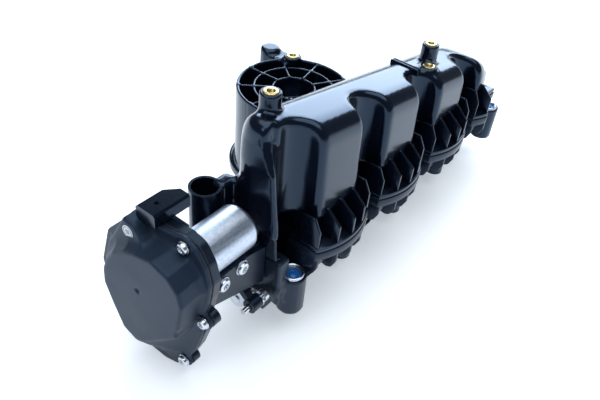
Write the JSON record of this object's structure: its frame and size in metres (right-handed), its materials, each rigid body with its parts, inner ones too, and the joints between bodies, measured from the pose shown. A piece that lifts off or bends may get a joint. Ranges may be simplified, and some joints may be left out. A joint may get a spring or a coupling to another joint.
{
  "type": "intake manifold",
  "caption": "Moulded intake manifold with four humped runners, ribbed inlet drum, swirl flaps on one shaft and a geared electric actuator driving them by crank and link.",
  "frame": {"origin": "on the head face, midway along the row of cylinders, below the flap shaft", "axes": "+X along the row away from the actuator, +Z along the bolts away from the head, -Y towards the humps"},
  "size_m": [0.476, 0.1754, 0.209],
  "materials": {
    "gloss_black": "gloss",
    "satin_black": "satin",
    "cover_grey": "matte",
    "seal_rubber": "matte",
    "insert_brass": "machined",
    "zinc_steel": "zinc plated",
    "polished_steel": "ground",
    "blue_plug": "gloss",
    "sintered_bronze": "sintered",
    "white_sticker": "matte",
    "galvanised_can": "galvanised",
    "ferrite": "matte",
    "armature_steel": "laminated",
    "gear_nylon": "satin",
    "board_green": "satin"
  },
  "bodies": {
    "manifold": {"upper_shell": "gloss_black", "lower_shell": "satin_black", "head_flange": "satin_black", "port_seals": "seal_rubber", "inlet_housing": "gloss_black", "brass_inserts": "insert_brass", "bolt_sleeves": "zinc_steel", "sleeve_plugs": "blue_plug", "inlet_seal": "seal_rubber", "shaft_bushes": "sintered_bronze", "sensor_cup": "gloss_black", "gearbox_housing": "satin_black", "gearbox_cover": "cover_grey", "cover_gasket": "seal_rubber", "cover_screws": "zinc_steel", "bracket_screws": "zinc_steel", "actuator_bracket": "satin_black", "bracket_rivets": "zinc_steel", "blank_sticker": "white_sticker", "harness_clip": "satin_black", "output_bush": "sintered_bronze", "idler_pin": "polished_steel", "connector_socket": "gloss_black", "connector_pins": "insert_brass", "motor_can": "galvanised_can", "rear_motor_bush": "sintered_bronze", "motor_end_plate": "galvanised_can", "motor_magnets": "ferrite", "motor_brushes": "ferrite", "control_board": "board_green"},
    "rotor": {"motor_shaft": "polished_steel", "motor_armature": "armature_steel", "commutator": "insert_brass", "motor_pinion": "insert_brass"},
    "idler": {"idler_gear": "gear_nylon"},
    "output": {"output_gear": "gear_nylon", "crank_arm": "zinc_steel", "crank_stud": "polished_steel", "output_shaft": "polished_steel"},
    "link": {"link_rod": "satin_black", "link_clips": "polished_steel"},
    "flap": {"flap_lever": "zinc_steel", "lever_stud": "polished_steel", "flap_shaft": "polished_steel", "swirl_flaps": "satin_black", "flap_screws": "zinc_steel"}
  },
  "joints": [
    {"name": "output_turn", "type": "hinge", "parent": "manifold", "child": "output", "pos_m": [-0.25, 0.03799, 0.04201], "axis": [1, 0, 0], "range_deg": [0, 60]},
    {"name": "idler_turn", "type": "hinge", "parent": "manifold", "child": "idler", "pos_m": [-0.262, 0.0146, 0.0822], "axis": [1, 0, 0], "range_deg": [-340, 1]},
    {"name": "rotor_turn", "type": "hinge", "parent": "manifold", "child": "rotor", "pos_m": [-0.23, -0.00844, 0.10665], "axis": [1, 0, 0], "range_deg": [-1, 2040]},
    {"name": "flap_turn", "type": "hinge", "parent": "manifold", "child": "flap", "pos_m": [0, 0, 0.014], "axis": [1, 0, 0], "range_deg": [0, 60]},
    {"name": "link_turn", "type": "hinge", "parent": "output", "child": "link", "pos_m": [-0.213, 0.01199, 0.06501], "axis": [1, 0, 0], "range_deg": [-60, 0]}
  ],
  "couplings": [
    {"joint": "idler_turn", "follows": "output_turn", "ratio": -5.6429},
    {"joint": "rotor_turn", "follows": "output_turn", "ratio": 33.857},
    {"joint": "flap_turn", "follows": "output_turn", "ratio": 1},
    {"joint": "link_turn", "follows": "output_turn", "ratio": -1}
  ]
}
